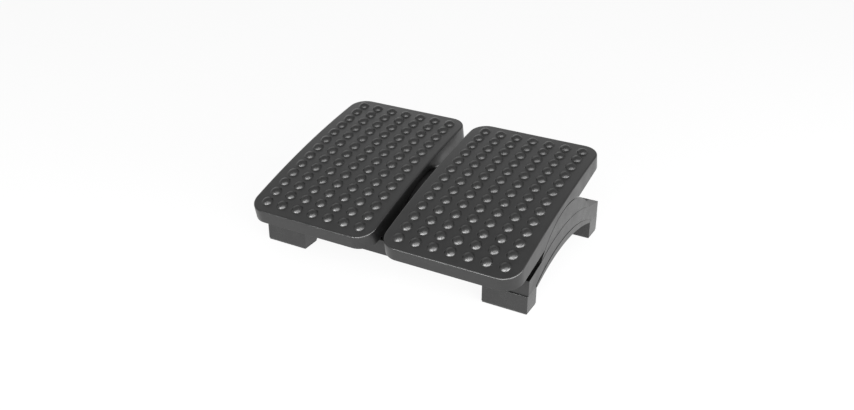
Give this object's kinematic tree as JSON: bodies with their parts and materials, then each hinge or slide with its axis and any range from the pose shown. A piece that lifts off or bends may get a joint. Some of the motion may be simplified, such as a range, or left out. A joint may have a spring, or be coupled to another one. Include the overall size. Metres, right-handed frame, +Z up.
{
  "type": "tilting footrest",
  "caption": "Under-desk footrest with separate domed treads side by side, each rocking on round-topped arches between a front and a rear rail on block feet.",
  "frame": {"origin": "middle of the footrest's box at rest, on the floor", "axes": "+X to the sitter's right, +Y away from the sitter, +Z up"},
  "size_m": [0.486, 0.3526, 0.1631],
  "materials": {
    "tread_plastic": "fine moulded grain, charcoal",
    "frame_plastic": "fine moulded grain, dark grey",
    "foot_plastic": "fine moulded grain, dark grey",
    "pad_rubber": "dull non-slip rubber",
    "shoe_nylon": "natural nylon, worn smooth on its sliding faces",
    "screw_steel": "zinc plated"
  },
  "bodies": {
    "base": {"left_arch": "frame_plastic", "right_arch": "frame_plastic", "centre_arch": "frame_plastic", "front_rail": "frame_plastic", "front_left_foot": "foot_plastic", "front_left_pad": "pad_rubber", "front_left_foot_screw": "screw_steel", "front_left_arch_screw": "screw_steel", "front_left_centre_screw": "screw_steel", "front_right_foot": "foot_plastic", "front_right_pad": "pad_rubber", "front_right_foot_screw": "screw_steel", "front_right_arch_screw": "screw_steel", "front_right_centre_screw": "screw_steel", "rear_rail": "frame_plastic", "rear_left_foot": "foot_plastic", "rear_left_pad": "pad_rubber", "rear_left_foot_screw": "screw_steel", "rear_left_arch_screw": "screw_steel", "rear_left_centre_screw": "screw_steel", "rear_right_foot": "foot_plastic", "rear_right_pad": "pad_rubber", "rear_right_foot_screw": "screw_steel", "rear_right_arch_screw": "screw_steel", "rear_right_centre_screw": "screw_steel"},
    "left_platform": {"left_tread": "tread_plastic", "left_outer_front_shoe": "shoe_nylon", "left_outer_front_bolt": "screw_steel", "left_inner_front_shoe": "shoe_nylon", "left_inner_front_bolt": "screw_steel", "left_outer_rear_shoe": "shoe_nylon", "left_outer_rear_bolt": "screw_steel", "left_inner_rear_shoe": "shoe_nylon", "left_inner_rear_bolt": "screw_steel"},
    "right_platform": {"right_tread": "tread_plastic", "right_outer_front_shoe": "shoe_nylon", "right_outer_front_bolt": "screw_steel", "right_inner_front_shoe": "shoe_nylon", "right_inner_front_bolt": "screw_steel", "right_outer_rear_shoe": "shoe_nylon", "right_outer_rear_bolt": "screw_steel", "right_inner_rear_shoe": "shoe_nylon", "right_inner_rear_bolt": "screw_steel"}
  },
  "joints": [
    {"name": "left_tilt", "type": "hinge", "parent": "base", "child": "left_platform", "pos_m": [-0.1255, 0.02505, -0.009], "axis": [1, 0, 0], "range_deg": [-27, 3]},
    {"name": "right_tilt", "type": "hinge", "parent": "base", "child": "right_platform", "pos_m": [0.1255, 0.02505, -0.009], "axis": [1, 0, 0], "range_deg": [-27, 3]}
  ]
}
